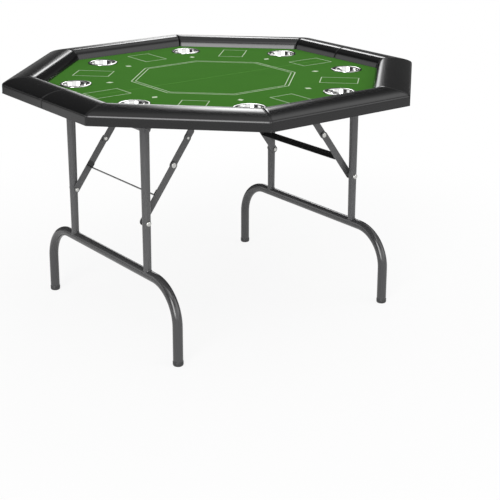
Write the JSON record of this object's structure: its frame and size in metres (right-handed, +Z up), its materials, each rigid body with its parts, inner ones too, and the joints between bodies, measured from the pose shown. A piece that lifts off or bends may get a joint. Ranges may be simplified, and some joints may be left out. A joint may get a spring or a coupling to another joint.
{
  "type": "folding poker table",
  "caption": "Octagonal folding card table with padded vinyl rail, printed felt top, corner cup holders and two folding tube leg frames with knee braces",
  "frame": {"origin": "floor under the middle of the table", "axes": "+Z up, X from the left leg frame to the right one, Y along the crossbars from front to back"},
  "size_m": [1.22, 1.22, 0.77],
  "materials": {
    "laminate": "black laminate and wrapped vinyl over wood, smooth",
    "felt": "green felt with pale printed lines",
    "rail_vinyl": "black padded vinyl, soft sheen",
    "cup_steel": "polished stainless steel",
    "bracket_paint": "black painted steel",
    "leg_paint": "dark grey coat on steel tube, satin",
    "zinc": "bright zinc plated",
    "cap_plastic": "dark plastic"
  },
  "bodies": {
    "top": {"board": "laminate", "felt_front": "felt", "felt_back": "felt", "rail_frame": "laminate", "rail_pad_right_back": "rail_vinyl", "rail_pad_back_right": "rail_vinyl", "rail_pad_back": "rail_vinyl", "rail_pad_back_left": "rail_vinyl", "rail_pad_left_back": "rail_vinyl", "rail_pad_left_front": "rail_vinyl", "rail_pad_front_left": "rail_vinyl", "rail_pad_front": "rail_vinyl", "rail_pad_front_right": "rail_vinyl", "rail_pad_right_front": "rail_vinyl", "cup_1": "cup_steel", "cup_2": "cup_steel", "cup_3": "cup_steel", "cup_4": "cup_steel", "cup_5": "cup_steel", "cup_6": "cup_steel", "cup_7": "cup_steel", "cup_8": "cup_steel", "leg_bracket_left_front": "bracket_paint", "leg_bracket_left_back": "bracket_paint", "leg_bracket_right_front": "bracket_paint", "leg_bracket_right_back": "bracket_paint", "brace_bracket_left_front": "bracket_paint", "brace_bracket_left_back": "bracket_paint", "brace_bracket_right_front": "bracket_paint", "brace_bracket_right_back": "bracket_paint", "bracket_rivets": "zinc", "bracket_screws": "zinc"},
    "left_leg": {"pivot_tube_left": "leg_paint", "upright_left_front": "leg_paint", "upright_left_back": "leg_paint", "foot_tube_left": "leg_paint", "foot_caps_left": "cap_plastic", "pivot_pins_left": "zinc", "brace_bolts_left": "zinc"},
    "left_brace": {"lower_link_left_front": "leg_paint", "lower_link_left_back": "leg_paint", "cross_plate_left": "leg_paint", "knee_rivets_left": "zinc"},
    "left_upper_front": {"upper_link_left_front": "leg_paint"},
    "left_upper_back": {"upper_link_left_back": "leg_paint"},
    "right_leg": {"pivot_tube_right": "leg_paint", "upright_right_front": "leg_paint", "upright_right_back": "leg_paint", "foot_tube_right": "leg_paint", "foot_caps_right": "cap_plastic", "pivot_pins_right": "zinc", "brace_bolts_right": "zinc"},
    "right_brace": {"lower_link_right_front": "leg_paint", "lower_link_right_back": "leg_paint", "cross_plate_right": "leg_paint", "knee_rivets_right": "zinc"},
    "right_upper_front": {"upper_link_right_front": "leg_paint"},
    "right_upper_back": {"upper_link_right_back": "leg_paint"}
  },
  "joints": [
    {"name": "left_leg_fold", "type": "hinge", "parent": "top", "child": "left_leg", "pos_m": [-0.399, 0, 0.676], "axis": [0, -1, 0], "range_deg": [0, 90]},
    {"name": "left_brace_turn", "type": "hinge", "parent": "left_leg", "child": "left_brace", "pos_m": [-0.399, 0, 0.393], "axis": [0, -1, 0], "range_deg": [0, 35.6]},
    {"name": "left_upper_turn_front", "type": "hinge", "parent": "top", "child": "left_upper_front", "pos_m": [-0.235, -0.19125, 0.617], "axis": [0, 1, 0], "range_deg": [0, 96.1]},
    {"name": "left_upper_turn_back", "type": "hinge", "parent": "top", "child": "left_upper_back", "pos_m": [-0.235, 0.19125, 0.617], "axis": [0, 1, 0], "range_deg": [0, 96.1]},
    {"name": "right_leg_fold", "type": "hinge", "parent": "top", "child": "right_leg", "pos_m": [0.399, 0, 0.676], "axis": [0, 1, 0], "range_deg": [0, 85.5]},
    {"name": "right_brace_turn", "type": "hinge", "parent": "right_leg", "child": "right_brace", "pos_m": [0.399, 0, 0.393], "axis": [0, 1, 0], "range_deg": [0, 32.9]},
    {"name": "right_upper_turn_front", "type": "hinge", "parent": "top", "child": "right_upper_front", "pos_m": [0.235, -0.19125, 0.617], "axis": [0, -1, 0], "range_deg": [0, 96.8]},
    {"name": "right_upper_turn_back", "type": "hinge", "parent": "top", "child": "right_upper_back", "pos_m": [0.235, 0.19125, 0.617], "axis": [0, -1, 0], "range_deg": [0, 96.8]}
  ],
  "couplings": [
    {"joint": "left_brace_turn", "follows": "left_leg_fold", "ratio": 0.39474},
    {"joint": "left_upper_turn_front", "follows": "left_leg_fold", "ratio": 1.0667},
    {"joint": "left_upper_turn_back", "follows": "left_leg_fold", "ratio": 1.0667},
    {"joint": "right_brace_turn", "follows": "right_leg_fold", "ratio": 0.38479},
    {"joint": "right_upper_turn_front", "follows": "right_leg_fold", "ratio": 1.132},
    {"joint": "right_upper_turn_back", "follows": "right_leg_fold", "ratio": 1.132}
  ]
}
